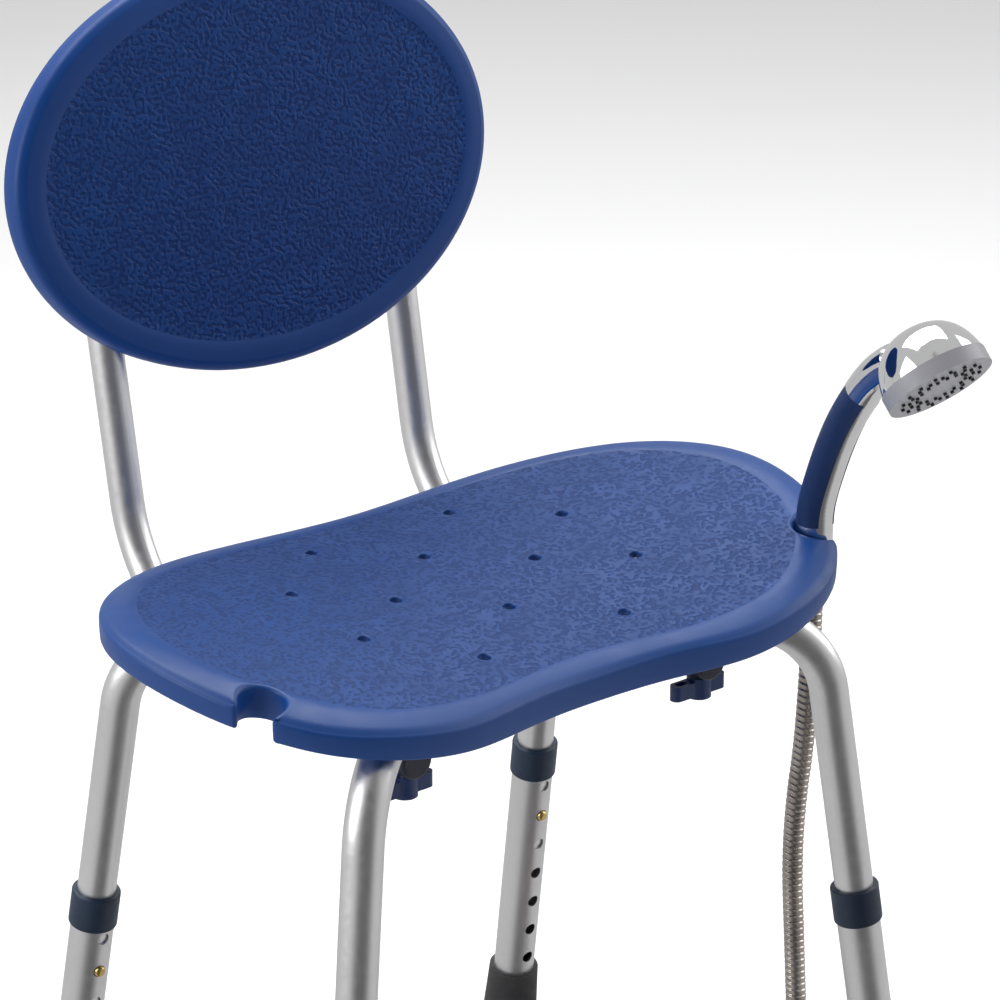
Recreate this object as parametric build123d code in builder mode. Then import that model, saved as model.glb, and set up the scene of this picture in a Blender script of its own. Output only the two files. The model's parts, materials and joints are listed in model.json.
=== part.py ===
"""Shower chair with a kidney-shaped seat, a round back panel and a hand shower docked in the seat.

Row frame: +X to the sitter's left, +Y to the back, +Z up, origin on the floor. Millimetres.
"""
import os
from math import atan2, cos, degrees, pi, radians, sin, tan

from build123d import *

os.makedirs("parts", exist_ok=True)

# ---- Driving dimensions ----
SEAT_HEIGHT = 460.0  # floor to the seat's top at its back edge, in the second leg hole
SEAT_Y = -22.4  # centre of the drain pattern
GAP = 0.3  # clearance between bodies that move past each other

SEAT_THICK = 22.0
SEAT_SKIN = 5.0
SEAT_RISE_RADIUS = 1269.0  # side to side, hollow upwards
SEAT_FALL_RADIUS = 1603.0  # front to back, crowned
CROWN_Y = 120.0  # where the front-to-back curve is level, behind the drain pattern
DRAIN_RADIUS = 4.0
NOTCH_X, NOTCH_Y, NOTCH_RADIUS, NOTCH_MOUTH = 220.0, -85.0, 14.5, 21.0
NOTCH_OUT = Vector(0.88, -0.475, 0)  # the way the right-hand notch opens

FRAME_RADIUS, FRAME_WALL, FRAME_BEND = 12.7, 1.5, 58.0
FRAME_DROP = 35.0  # seat top to the frame tube's centreline
CROSSING_DIP = 27.0  # how far the second tube runs below the first
RAIL_RADIUS, RAIL_WALL, RAIL_X, RAIL_DROP = 11.1, 1.4, 118.5, 60.5
RAIL_FRONT_Y, RAIL_BEND = -96.0, 94.0
BACK_LEAN = 0.181  # backwards per unit of height
UPRIGHT_Y, UPRIGHT_RISE = 218.4, 100.0  # a point on the upright, behind and above the seat
HOOP_RISE, HOOP_BEND = 290.0, 60.0  # cross bar above the seat, and its corner radius
PANEL_HALF_WIDTH, PANEL_HALF_HEIGHT, PANEL_RISE, PANEL_THICK = 186.0, 134.0, 216.0, 20.0
PANEL_SKIN = 5.0

LOWER_RADIUS, LOWER_INNER = 14.3, 12.95
HOLE_PITCH, HOLE_COUNT, PINNED_HOLE = 25.0, 7, 1
COLLAR_TOP, COLLAR_HEIGHT, COLLAR_RADIUS = 192.0, 25.0, 16.0  # along the leg from its corner
BUTTON_AT = 248.0
UPPER_END = 286.0
FOOT_RADIUS, FOOT_HEIGHT, FOOT_FLOOR = 20.0, 44.0, 11.0
BUTTON_RADIUS, BUTTON_HOLE = 3.9, 4.3

HANDLE_RADIUS = 12.0
HEAD_RADIUS, HEAD_TILT = 35.5, 45.0
FACE_Y, FACE_RISE = -110.0, 121.0  # centre of the spray face from the notch
HOSE_RADIUS = 7.0
COIL_RADIUS, COIL_TURNS = 73.5, 2

SEAT_PLANE = Plane.XY.offset(SEAT_HEIGHT)


def spot(x, y, rise):
    """A point given from the drain pattern's centre and the seat's top."""
    return Vector(x, SEAT_Y + y, SEAT_HEIGHT + rise)


def seat_rise(x, y):
    """The seat's top at a point beside the drain pattern's centre."""
    return x * x / (2 * SEAT_RISE_RADIUS) - (y - CROWN_Y) ** 2 / (2 * SEAT_FALL_RADIUS)


SEAT_OUTLINE = [
    (0, -134), (55, -138), (110, -147), (160, -142), (205, -121), (236, -84), (254, -30),
    (251, 30), (224, 76), (178, 109), (115, 130), (50, 131), (0, 129),
]  # the right half, front to back


def kidney(inset=0):
    """Sketch the seat's outline, or one a little inside it, mirrored about the middle plane."""
    wide, deep = 1 - inset / 255, 1 - inset / 138
    right = [(x * wide, SEAT_Y + y * deep) for x, y in SEAT_OUTLINE]
    left = [(-x, y) for x, y in reversed(right[1:-1])]
    with BuildLine() as edge:
        Spline(*right, *left, periodic=True)
    make_face(edge.edges())


def curved_slab(drop, depth):
    """A saddle-shaped slab, its top a distance below the seat's top."""
    crown = (SEAT_Y + CROWN_Y, SEAT_HEIGHT - drop)
    reach = radians(12)
    with BuildPart() as slab:
        with BuildSketch(Plane.YZ) as section:
            with BuildLine():
                ends = []
                for radius in (SEAT_FALL_RADIUS, SEAT_FALL_RADIUS - depth):
                    centre_z = crown[1] - SEAT_FALL_RADIUS
                    around = [(crown[0] + radius * sin(a), centre_z + radius * cos(a))
                              for a in (-reach, 0, reach)]
                    ThreePointArc(*around)
                    ends.append(around)
                Line(ends[0][0], ends[1][0])
                Line(ends[0][2], ends[1][2])
            make_face()
        swing = Axis((0, 0, crown[1] + SEAT_RISE_RADIUS), (0, 1, 0))
        for way in (14, -14):
            revolve(section.sketch, axis=swing, revolution_arc=way)
    return slab.part


def round_bar(start, end, radius):
    """A plain cylinder between two points, for cutting clearances."""
    way = end - start
    with BuildPart() as bar:
        with BuildSketch(Plane(origin=start, z_dir=way)):
            Circle(radius)
        extrude(amount=way.length)
    return bar.part


# ---- Legs: one straight line each, from the corner under the seat to the floor ----
FRONT_X, FRONT_Y = 180.6, -133.4
REAR_X, REAR_Y = 175.3, 120.5
LEGS = {  # side, corner x and y under the seat, outward and backward run per unit of drop
    "front_right": (1, FRONT_X, FRONT_Y, 0.127, -0.077),
    "front_left": (-1, FRONT_X, FRONT_Y, 0.127, -0.077),
    "rear_right": (1, REAR_X, REAR_Y, 0.049, 0.182),
    "rear_left": (-1, REAR_X, REAR_Y, 0.049, 0.182),
}
CROSS_Y = FRONT_Y + FRONT_X / (FRONT_X + REAR_X) * (REAR_Y - FRONT_Y)


def leg_corner(leg):
    side, x, y = LEGS[leg][:3]
    return spot(side * x, y, -FRAME_DROP)


CENTRE = spot(0, CROSS_Y, -FRAME_DROP)


def on_run(leg, x):
    """A point on the leg's level run under the seat, a distance to the side of the middle."""
    run = leg_corner(leg) - CENTRE
    return CENTRE + run * (x / abs(run.X))


def leg_way(leg):
    side, _, _, outward, backward = LEGS[leg]
    return Vector(side * outward, backward, -1).normalized()


def button_way(leg):
    """Each pair of buttons faces the space between the front and the rear legs."""
    level = Vector(0, 1 if leg.startswith("front") else -1, 0)
    down = leg_way(leg)
    return (level - down * level.dot(down)).normalized()


def leg_plane(leg, distance):
    """Across the leg, a distance down it, with X towards its button and Z down the leg."""
    down = leg_way(leg)
    return Plane(origin=leg_corner(leg) + down * distance, x_dir=button_way(leg), z_dir=down)


def button_plane(leg, distance):
    """Along the button's axis, from the leg's centreline outwards."""
    down = leg_way(leg)
    return Plane(origin=leg_corner(leg) + down * distance, x_dir=down, z_dir=button_way(leg))


def bent_tube(points, bends, radius, wall=0):
    """Sweep a round tube along straight runs with rounded corners, or a bar if it has no wall."""
    with BuildPart() as tube:
        with BuildLine() as path:
            FilletPolyline(*points, radius=bends)
        with BuildSketch(Plane(origin=path.line @ 0, z_dir=path.line % 0)):
            Circle(radius)
            if wall:
                Circle(radius - wall, mode=Mode.SUBTRACT)
        sweep()
    return tube.part


# ---- Seat ----
SCREW_X = 84.0
SCREWS = [on_run(leg, SCREW_X) for leg in LEGS]
SCREW_SPOTS = [(at.X, at.Y) for at in SCREWS]
DRAINS = [(x, y) for x in (-56, 56) for y in (-88, 0, 88)]
DRAINS += [(0, -43), (0, 43)] + [(x, y) for x in (-109, 109) for y in (-37, 37)]
BOSS_RADIUS = 8.0
FRAME_TOP = -FRAME_DROP + FRAME_RADIUS  # the tube's top, from the seat's top

seat_cavity = curved_slab(SEAT_SKIN, SEAT_THICK + 20)
with BuildPart() as cavity_core:
    with BuildSketch(Plane.XY.offset(SEAT_HEIGHT - 100)):
        kidney(SEAT_SKIN)
        for side in (-1, 1):
            with Locations((side * NOTCH_X, SEAT_Y + NOTCH_Y)):
                Circle(NOTCH_RADIUS + SEAT_SKIN, mode=Mode.SUBTRACT)
            mouth = Vector(side * NOTCH_OUT.X, NOTCH_OUT.Y, 0)
            centre = (side * NOTCH_X + 20 * mouth.X, SEAT_Y + NOTCH_Y + 20 * mouth.Y)
            with Locations(Location((*centre, 0), (0, 0, degrees(atan2(mouth.Y, mouth.X))))):
                Rectangle(40, NOTCH_MOUTH + 2 * SEAT_SKIN + 4, mode=Mode.SUBTRACT)
        with Locations(*SCREW_SPOTS):
            Circle(BOSS_RADIUS, mode=Mode.SUBTRACT)
    extrude(amount=200)
    add(seat_cavity, mode=Mode.INTERSECT)

seat_blank = curved_slab(0, SEAT_THICK)
with BuildPart() as seat_panel:
    with BuildSketch(Plane.XY.offset(SEAT_HEIGHT - 100)):
        kidney()
    extrude(amount=200)
    add(seat_blank, mode=Mode.INTERSECT)
    rim = seat_panel.faces().sort_by(Axis.Z)[-1].outer_wire().edges()
    fillet(rim, 6.0)
    add(cavity_core.part, mode=Mode.SUBTRACT)
    with BuildSketch(Plane.XY.offset(SEAT_HEIGHT - 100)):
        with Locations(*[(x, SEAT_Y + y) for x, y in DRAINS]):
            Circle(DRAIN_RADIUS)
        for side in (-1, 1):
            with Locations((side * NOTCH_X, SEAT_Y + NOTCH_Y)):
                Circle(NOTCH_RADIUS)
            mouth = Vector(side * NOTCH_OUT.X, NOTCH_OUT.Y, 0)
            centre = (side * NOTCH_X + 20 * mouth.X, SEAT_Y + NOTCH_Y + 20 * mouth.Y)
            with Locations(Location((*centre, 0), (0, 0, degrees(atan2(mouth.Y, mouth.X))))):
                Rectangle(40, NOTCH_MOUTH)
    extrude(amount=200, mode=Mode.SUBTRACT)
    # bosses reach from the skin down to the frame tubes, with a pilot hole for each screw
    with BuildSketch(SEAT_PLANE.offset(FRAME_TOP)):
        with Locations(*SCREW_SPOTS):
            Circle(BOSS_RADIUS + 1)
    extrude(amount=-20, mode=Mode.SUBTRACT)
    with BuildSketch(SEAT_PLANE.offset(FRAME_TOP)):
        with Locations(*SCREW_SPOTS):
            Circle(BOSS_RADIUS)
    extrude(amount=-FRAME_TOP - 10.5)
    with BuildSketch(SEAT_PLANE.offset(FRAME_TOP)):
        with Locations(*SCREW_SPOTS):
            Circle(2.6)
    extrude(amount=10, mode=Mode.SUBTRACT)
seat_panel.part.label = "seat_panel"
export_step(seat_panel.part, "parts/seat_panel.step")

# ---- Leg frame: two arched tubes that cross under the middle of the seat ----
LOW = Vector(0, 0, -CROSSING_DIP)
DIP_NEAR, DIP_FAR, DIP_BEND = 22.0, 62.0, 40.0


def upper_end(leg):
    return leg_corner(leg) + leg_way(leg) * UPPER_END


def toward_centre(leg, distance):
    """On the level run, a distance from the crossing."""
    return CENTRE + (leg_corner(leg) - CENTRE).normalized() * distance


leg_frame_parts = {}
for name, front, rear in (("a", "front_right", "rear_left"), ("b", "front_left", "rear_right")):
    route = [upper_end(front), leg_corner(front)]
    bends = [FRAME_BEND]
    if name == "b":
        route += [toward_centre(front, DIP_FAR), toward_centre(front, DIP_NEAR) + LOW,
                  toward_centre(rear, DIP_NEAR) + LOW, toward_centre(rear, DIP_FAR)]
        bends += [DIP_BEND] * 4
    route += [leg_corner(rear), upper_end(rear)]
    bends += [FRAME_BEND]
    blank = bent_tube(route, bends, FRAME_RADIUS, FRAME_WALL)
    with BuildPart() as leg_frame:
        add(blank)
        for leg in (front, rear):
            with BuildSketch(button_plane(leg, BUTTON_AT)):
                Circle(BUTTON_HOLE)
            extrude(amount=FRAME_RADIUS + 5, mode=Mode.SUBTRACT)
        # holes for the crossing bolt, the seat screws and the clamp studs
        with BuildSketch(SEAT_PLANE.offset(-130)):
            with Locations((CENTRE.X, CENTRE.Y)):
                Circle(4.2)
            with Locations(*[(on_run(leg, SCREW_X).X, on_run(leg, SCREW_X).Y)
                             for leg in (front, rear)]):
                Circle(2.8)
        extrude(amount=130, mode=Mode.SUBTRACT)
        with BuildSketch(SEAT_PLANE.offset(-FRAME_DROP - FRAME_RADIUS - 5)):
            for leg in (front, rear):
                clamp = on_run(leg, RAIL_X)
                with Locations((clamp.X, clamp.Y)):
                    Circle(4.0)
        extrude(amount=FRAME_RADIUS + 5, mode=Mode.SUBTRACT)
    leg_frame_parts[name] = leg_frame.part
    leg_frame.part.label = "leg_frame_" + name
    export_step(leg_frame.part, "parts/leg_frame_" + name + ".step")

# crossing: bolt down through both tubes, a shaped spacer between them, washer and nut below
BOLT_X, BOLT_Y = CENTRE.X, CENTRE.Y
upper_top = CENTRE.Z + FRAME_RADIUS
lower_bottom = CENTRE.Z - CROSSING_DIP - FRAME_RADIUS
with BuildPart() as cross_bolt:
    with BuildSketch(Plane.XY.offset(upper_top)):
        with Locations((BOLT_X, BOLT_Y)):
            Circle(7)
    extrude(amount=3.5)
    with BuildSketch(Plane.XY.offset(lower_bottom - 11)):
        with Locations((BOLT_X, BOLT_Y)):
            Circle(3.9)
    extrude(amount=upper_top - lower_bottom + 11)
cross_bolt.part.label = "cross_bolt"
export_step(cross_bolt.part, "parts/cross_bolt.step")

with BuildPart() as cross_washer:
    with BuildSketch(Plane.XY.offset(lower_bottom - 1.6)):
        with Locations((BOLT_X, BOLT_Y)):
            Circle(9)
            Circle(4.2, mode=Mode.SUBTRACT)
    extrude(amount=1.6)
cross_washer.part.label = "cross_washer"
export_step(cross_washer.part, "parts/cross_washer.step")

with BuildPart() as cross_nut:
    with BuildSketch(Plane.XY.offset(lower_bottom - 9.1)):
        with Locations((BOLT_X, BOLT_Y)):
            RegularPolygon(6.5, 6, major_radius=False)
            Circle(3.95, mode=Mode.SUBTRACT)
    extrude(amount=7.5)
    chamfer(cross_nut.faces().sort_by(Axis.Z)[0].outer_wire().edges(), 0.8)
cross_nut.part.label = "cross_nut"
export_step(cross_nut.part, "parts/cross_nut.step")

# ---- Seat screws, up through the tubes into the seat's bosses ----
screw_seat = SEAT_PLANE.offset(-FRAME_DROP - FRAME_RADIUS - 1.6)  # the washers' lower faces
with BuildPart() as seat_screws:
    with BuildSketch(screw_seat.offset(-3.6)):
        with Locations(*SCREW_SPOTS):
            Circle(5)
    extrude(amount=3.6)
    with BuildSketch(screw_seat):
        with Locations(*SCREW_SPOTS):
            Circle(2.4)
    extrude(amount=2 * FRAME_RADIUS + 10)
    with BuildSketch(screw_seat.offset(-3.6)):
        with Locations(*SCREW_SPOTS):
            RegularPolygon(2.2, 6)
    extrude(amount=2, mode=Mode.SUBTRACT)
seat_screws.part.label = "seat_screws"
export_step(seat_screws.part, "parts/seat_screws.step")

with BuildPart() as seat_screw_washers:
    with BuildSketch(screw_seat):
        with Locations(*SCREW_SPOTS):
            Circle(7)
            Circle(2.8, mode=Mode.SUBTRACT)
    extrude(amount=1.6)
seat_screw_washers.part.label = "seat_screw_washers"
export_step(seat_screw_washers.part, "parts/seat_screw_washers.step")

# ---- Backrest hoop: rails, uprights and cross bar in one bent tube ----
LEAN = atan2(BACK_LEAN, 1)


def upright_y(rise):
    return UPRIGHT_Y + BACK_LEAN * (rise - UPRIGHT_RISE)


hoop_route = [spot(RAIL_X, RAIL_FRONT_Y, -RAIL_DROP),
              spot(RAIL_X, upright_y(-RAIL_DROP), -RAIL_DROP),
              spot(RAIL_X, upright_y(HOOP_RISE), HOOP_RISE)]
hoop_route += [Vector(-p.X, p.Y, p.Z) for p in reversed(hoop_route)]
hoop_blank = bent_tube(hoop_route, [RAIL_BEND, HOOP_BEND, HOOP_BEND, RAIL_BEND],
                         RAIL_RADIUS, RAIL_WALL)
CLAMPS = {leg: on_run(leg, RAIL_X) for leg in LEGS}
PANEL_PLANE = Plane(origin=spot(0, upright_y(PANEL_RISE), PANEL_RISE), x_dir=(1, 0, 0),
                    z_dir=(0, -cos(LEAN), sin(LEAN)))  # Z runs forwards out of the tubes
PANEL_SCREWS = [(x, y) for x in (-RAIL_X, RAIL_X) for y in (-45, 35)]
with BuildPart() as backrest_hoop:
    add(hoop_blank)
    with BuildSketch(SEAT_PLANE.offset(-RAIL_DROP - 30)):
        for clamp in CLAMPS.values():
            with Locations((clamp.X, clamp.Y)):
                Circle(3.3)
    extrude(amount=60, mode=Mode.SUBTRACT)
    with BuildSketch(PANEL_PLANE.offset(-20)):
        with Locations(*PANEL_SCREWS):
            Circle(2.7)
    extrude(amount=40, mode=Mode.SUBTRACT)
backrest_hoop.part.label = "backrest_hoop"
export_step(backrest_hoop.part, "parts/backrest_hoop.step")

# dark plugs in the front ends of the rails
for side, name in ((1, "right"), (-1, "left")):
    face = Plane(origin=spot(side * RAIL_X, RAIL_FRONT_Y, -RAIL_DROP), z_dir=(0, -1, 0))
    with BuildPart() as rail_cap:
        with BuildSketch(face):
            Circle(RAIL_RADIUS + 0.6)
        extrude(amount=6)
        fillet(rail_cap.faces().sort_by(Axis.Y)[0].edges(), 2.5)
        with BuildSketch(face):
            Circle(RAIL_RADIUS - RAIL_WALL)
        extrude(amount=-3.2)
    rail_cap.part.label = "rail_cap_" + name
    export_step(rail_cap.part, "parts/rail_cap_" + name + ".step")

# ---- Back panel: an oval tray with pads that saddle the uprights ----
with BuildPart() as backrest_panel:
    with BuildSketch(PANEL_PLANE.offset(RAIL_RADIUS)):
        Ellipse(PANEL_HALF_WIDTH, PANEL_HALF_HEIGHT)
    extrude(amount=PANEL_THICK)
    fillet(backrest_panel.faces().sort_by(Axis.Y)[0].edges(), 6)
    with BuildSketch(PANEL_PLANE.offset(RAIL_RADIUS)):
        Ellipse(PANEL_HALF_WIDTH - PANEL_SKIN, PANEL_HALF_HEIGHT - PANEL_SKIN)
        for x in (-RAIL_X, RAIL_X):
            with Locations((x, -5)):
                Rectangle(14, 150, mode=Mode.SUBTRACT)
    extrude(amount=PANEL_THICK - PANEL_SKIN, mode=Mode.SUBTRACT)
    with BuildSketch(PANEL_PLANE.offset(RAIL_RADIUS)):
        with Locations(*PANEL_SCREWS):
            Circle(2.4)
    extrude(amount=PANEL_THICK - 6, mode=Mode.SUBTRACT)
backrest_panel.part.label = "backrest_panel"
export_step(backrest_panel.part, "parts/backrest_panel.step")

with BuildPart() as backrest_screws:
    with BuildSketch(PANEL_PLANE.offset(-RAIL_RADIUS - 4.6)):
        with Locations(*PANEL_SCREWS):
            Circle(5)
    extrude(amount=3.4)
    with BuildSketch(PANEL_PLANE.offset(-RAIL_RADIUS - 4.6)):
        with Locations(*PANEL_SCREWS):
            Circle(2.3)
    extrude(amount=2 * RAIL_RADIUS + 16)
    with BuildSketch(PANEL_PLANE.offset(-RAIL_RADIUS - 4.6)):
        with Locations(*PANEL_SCREWS):
            Circle(1.6)
    extrude(amount=2, mode=Mode.SUBTRACT)
backrest_screws.part.label = "backrest_screws"
export_step(backrest_screws.part, "parts/backrest_screws.step")

with BuildPart() as backrest_screw_washers:
    with BuildSketch(PANEL_PLANE.offset(-RAIL_RADIUS - 1.2)):
        with Locations(*PANEL_SCREWS):
            Circle(6.5)
            Circle(2.5, mode=Mode.SUBTRACT)
    extrude(amount=1.2)
backrest_screw_washers.part.label = "backrest_screw_washers"
export_step(backrest_screw_washers.part, "parts/backrest_screw_washers.step")

# ---- Clamps: saddle between frame and rail, threaded insert, stud and wing knob ----
SADDLE_WIDE, SADDLE_DEEP = 24.0, 12.6
saddle_room = []  # the two tubes that each saddle keeps apart
for leg, clamp in CLAMPS.items():
    along = (leg_corner(leg) - CENTRE).normalized() * 40
    back = Vector(0, 40, 0)
    rail = Vector(clamp.X, clamp.Y, SEAT_HEIGHT - RAIL_DROP)
    saddle_room.append(round_bar(clamp - along, clamp + along, FRAME_RADIUS))
    saddle_room.append(round_bar(rail - back, rail + back, RAIL_RADIUS))
clamp_spots = [(clamp.X, clamp.Y) for clamp in CLAMPS.values()]
with BuildPart() as rail_saddles:
    with BuildSketch(SEAT_PLANE.offset(-RAIL_DROP)):
        with Locations(*clamp_spots):
            RectangleRounded(SADDLE_WIDE, SADDLE_DEEP, 3)
            Circle(3.4, mode=Mode.SUBTRACT)
    extrude(amount=RAIL_DROP - FRAME_DROP)
    for room in saddle_room:
        add(room, mode=Mode.SUBTRACT)
rail_saddles.part.label = "rail_saddles"
export_step(rail_saddles.part, "parts/rail_saddles.step")

frame_bottom = -FRAME_DROP - FRAME_RADIUS
with BuildPart() as clamp_inserts:
    for clamp in CLAMPS.values():
        with BuildSketch(Plane.XY.offset(SEAT_HEIGHT + frame_bottom + 1.0)):
            with Locations((clamp.X, clamp.Y)):
                Circle(3.9)
                Circle(3.05, mode=Mode.SUBTRACT)
        extrude(amount=11)
        with BuildSketch(Plane.XY.offset(SEAT_HEIGHT + frame_bottom + 3.2)):
            with Locations((clamp.X, clamp.Y)):
                Circle(5.6)
                Circle(3.05, mode=Mode.SUBTRACT)
        extrude(amount=3)
clamp_inserts.part.label = "clamp_inserts"
export_step(clamp_inserts.part, "parts/clamp_inserts.step")

KNOB_CLEARANCE = 1.0
KNOB_TOP = -RAIL_DROP - RAIL_RADIUS - KNOB_CLEARANCE
KNOB_HEIGHT, WING_SPAN, WING_DEEP = 12.0, 18.0, 9.0
stud_top = SEAT_HEIGHT + frame_bottom + 13
for leg, clamp in CLAMPS.items():
    hub = Plane(origin=(clamp.X, clamp.Y, SEAT_HEIGHT + KNOB_TOP), z_dir=(0, 0, -1))
    with BuildPart() as clamp_knob:
        with BuildSketch(hub):
            Circle(8)
        extrude(amount=KNOB_HEIGHT + 2)
        with BuildSketch(hub.offset(2)):
            with Locations((WING_SPAN / 2 + 2, 0)):
                SlotOverall(WING_SPAN + 6, WING_DEEP)
            with Locations((-WING_SPAN / 2, 0)):
                SlotOverall(WING_SPAN + 4, WING_DEEP)
        extrude(amount=KNOB_HEIGHT - 2)
        with BuildSketch(hub.offset(2)):
            with Locations((WING_SPAN / 2 + 6, 0)):
                SlotOverall(9, 5)
        extrude(amount=KNOB_HEIGHT - 2, mode=Mode.SUBTRACT)
        with BuildSketch(hub):
            Circle(3.0)
        extrude(amount=KNOB_HEIGHT - 2, mode=Mode.SUBTRACT)
    clamp_knob.part.label = "clamp_knob_" + leg
    export_step(clamp_knob.part, "parts/clamp_knob_" + leg + ".step")
    with BuildPart() as clamp_stud:
        with BuildSketch(Plane.XY.offset(SEAT_HEIGHT + KNOB_TOP - KNOB_HEIGHT + 2)):
            with Locations((clamp.X, clamp.Y)):
                Circle(3.0)
        extrude(amount=stud_top - (SEAT_HEIGHT + KNOB_TOP - KNOB_HEIGHT + 2))
        chamfer(clamp_stud.faces().sort_by(Axis.Z)[-1].edges(), 0.8)
    clamp_stud.part.label = "clamp_stud_" + leg
    export_step(clamp_stud.part, "parts/clamp_stud_" + leg + ".step")

# ---- Legs: height-adjustable lower tubes, collars, feet, buttons and springs ----
for leg in LEGS:
    down = leg_way(leg)
    floor_at = (SEAT_HEIGHT - FRAME_DROP) / -down.Z  # along the leg, where its axis meets the floor
    foot_top = floor_at - FOOT_HEIGHT
    tube_end = floor_at - FOOT_FLOOR - 5.0

    with BuildPart() as lower_tube:
        with BuildSketch(leg_plane(leg, COLLAR_TOP + 2)):
            Circle(LOWER_RADIUS)
            Circle(LOWER_INNER, mode=Mode.SUBTRACT)
        extrude(amount=tube_end - COLLAR_TOP - 2)
        for step in range(HOLE_COUNT):
            with BuildSketch(button_plane(leg, BUTTON_AT + (step - PINNED_HOLE) * HOLE_PITCH)):
                Circle(BUTTON_HOLE)
            extrude(amount=LOWER_RADIUS + 5, mode=Mode.SUBTRACT)
    lower_tube.part.label = "lower_tube_" + leg
    export_step(lower_tube.part, "parts/lower_tube_" + leg + ".step")

    with BuildPart() as collar:
        with BuildSketch(leg_plane(leg, COLLAR_TOP)):
            Circle(COLLAR_RADIUS)
        extrude(amount=COLLAR_HEIGHT)
        rims = [edge for edge in collar.edges() if edge.geom_type == GeomType.CIRCLE]
        fillet(rims, 1.2)
        with BuildSketch(leg_plane(leg, COLLAR_TOP)):
            Circle(FRAME_RADIUS + GAP / 2)
        extrude(amount=2, mode=Mode.SUBTRACT)
        with BuildSketch(leg_plane(leg, COLLAR_TOP + 2)):
            Circle(LOWER_RADIUS)
        extrude(amount=COLLAR_HEIGHT, mode=Mode.SUBTRACT)
    collar.part.label = "collar_" + leg
    export_step(collar.part, "parts/collar_" + leg + ".step")

    with BuildPart() as foot:
        with BuildSketch(leg_plane(leg, foot_top)):
            Circle(FOOT_RADIUS - 2.5)
        with BuildSketch(leg_plane(leg, floor_at + 8)):
            Circle(FOOT_RADIUS)
        loft()
        with BuildSketch(leg_plane(leg, foot_top)):
            Circle(LOWER_RADIUS)
        extrude(amount=tube_end + 2 - foot_top, mode=Mode.SUBTRACT)
        split(bisect_by=Plane.XY, keep=Keep.TOP)
        fillet(foot.faces().sort_by(Axis.Z)[0].outer_wire().edges(), 1.5)
    foot.part.label = "foot_" + leg
    export_step(foot.part, "parts/foot_" + leg + ".step")

    with BuildPart() as foot_washer:
        with BuildSketch(leg_plane(leg, tube_end)):
            Circle(LOWER_RADIUS - 0.2)
        extrude(amount=2)
    foot_washer.part.label = "foot_washer_" + leg
    export_step(foot_washer.part, "parts/foot_washer_" + leg + ".step")

    out = button_plane(leg, BUTTON_AT)
    with BuildPart() as snap_button:
        with BuildSketch(out.offset(7.4)):
            Circle(5.2)
        extrude(amount=1.5)
        with BuildSketch(out.offset(7.4)):
            Circle(BUTTON_RADIUS)
        extrude(amount=9.6)
        tip = snap_button.faces().sort_by(Axis(out.origin, out.z_dir))[-1]
        fillet(tip.edges(), 2.6)
    snap_button.part.label = "snap_button_" + leg
    export_step(snap_button.part, "parts/snap_button_" + leg + ".step")

    # a bent strip between the button and the far wall of the tube
    strip = Plane(origin=out.origin, x_dir=out.z_dir, z_dir=out.z_dir.cross(out.x_dir))
    inner = FRAME_RADIUS - FRAME_WALL
    with BuildPart() as button_spring:
        with BuildSketch(strip):
            with BuildLine():
                FilletPolyline((7.0, 6), (7.0, -7), (-1.6, -32), (3 - inner, 10), radius=[4, 3.4])
            trace(line_width=0.8)
        extrude(amount=3.5, both=True)
    button_spring.part.label = "button_spring_" + leg
    export_step(button_spring.part, "parts/button_spring_" + leg + ".step")

with BuildPart() as tube_plugs:
    for leg in LEGS:
        with BuildSketch(leg_plane(leg, UPPER_END)):
            Circle(FRAME_RADIUS - 0.1)
        extrude(amount=2)
        with BuildSketch(leg_plane(leg, UPPER_END)):
            Circle(FRAME_RADIUS - FRAME_WALL)
        extrude(amount=-8)
tube_plugs.part.label = "tube_plugs"
export_step(tube_plugs.part, "parts/tube_plugs.step")

# ---- Hand shower, standing in the right-hand notch ----
DOCK_RISE = seat_rise(NOTCH_X, NOTCH_Y)
DOCK = spot(NOTCH_X, NOTCH_Y, DOCK_RISE)
HANDLE_FOOT = 24.0  # how far the handle reaches below the seat's surface
TILT = radians(HEAD_TILT)
FACE = DOCK + Vector(0, FACE_Y, FACE_RISE)
SPRAY_WAY = Vector(0, -sin(TILT), -cos(TILT))
HANDLE_SPINE = [(0, 0), (-6, 30), (-20, 66), (-40, 100), (-68, 128)]  # back to front, and up
GRIP_FROM, GRIP_TO = 52.0, 148.0  # degrees round the handle from its back
GRIP_DEEP = 1.4


def handle_line():
    """The handle's centreline, straight at its foot and bent forwards to the head."""
    spine = [DOCK + Vector(0, y, z) for y, z in HANDLE_SPINE]
    Line(spine[0] - Vector(0, 0, HANDLE_FOOT), spine[0])
    Spline(*spine, tangents=[(0, 0, 1), (0, -1, 0.62)])


def grip_sector(inner_radius, outer_radius, side):
    """A curved bar of the handle's side, sketched across its foot."""
    low, high = (radians(90 - side * a) for a in (GRIP_FROM, GRIP_TO))
    middle = (low + high) / 2
    with BuildLine() as edge:
        for radius in (inner_radius, outer_radius):
            ThreePointArc(*[(radius * cos(a), radius * sin(a)) for a in (low, middle, high)])
        for a in (low, high):
            Line((inner_radius * cos(a), inner_radius * sin(a)),
                 (outer_radius * cos(a), outer_radius * sin(a)))
    make_face(edge.edges())


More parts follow.
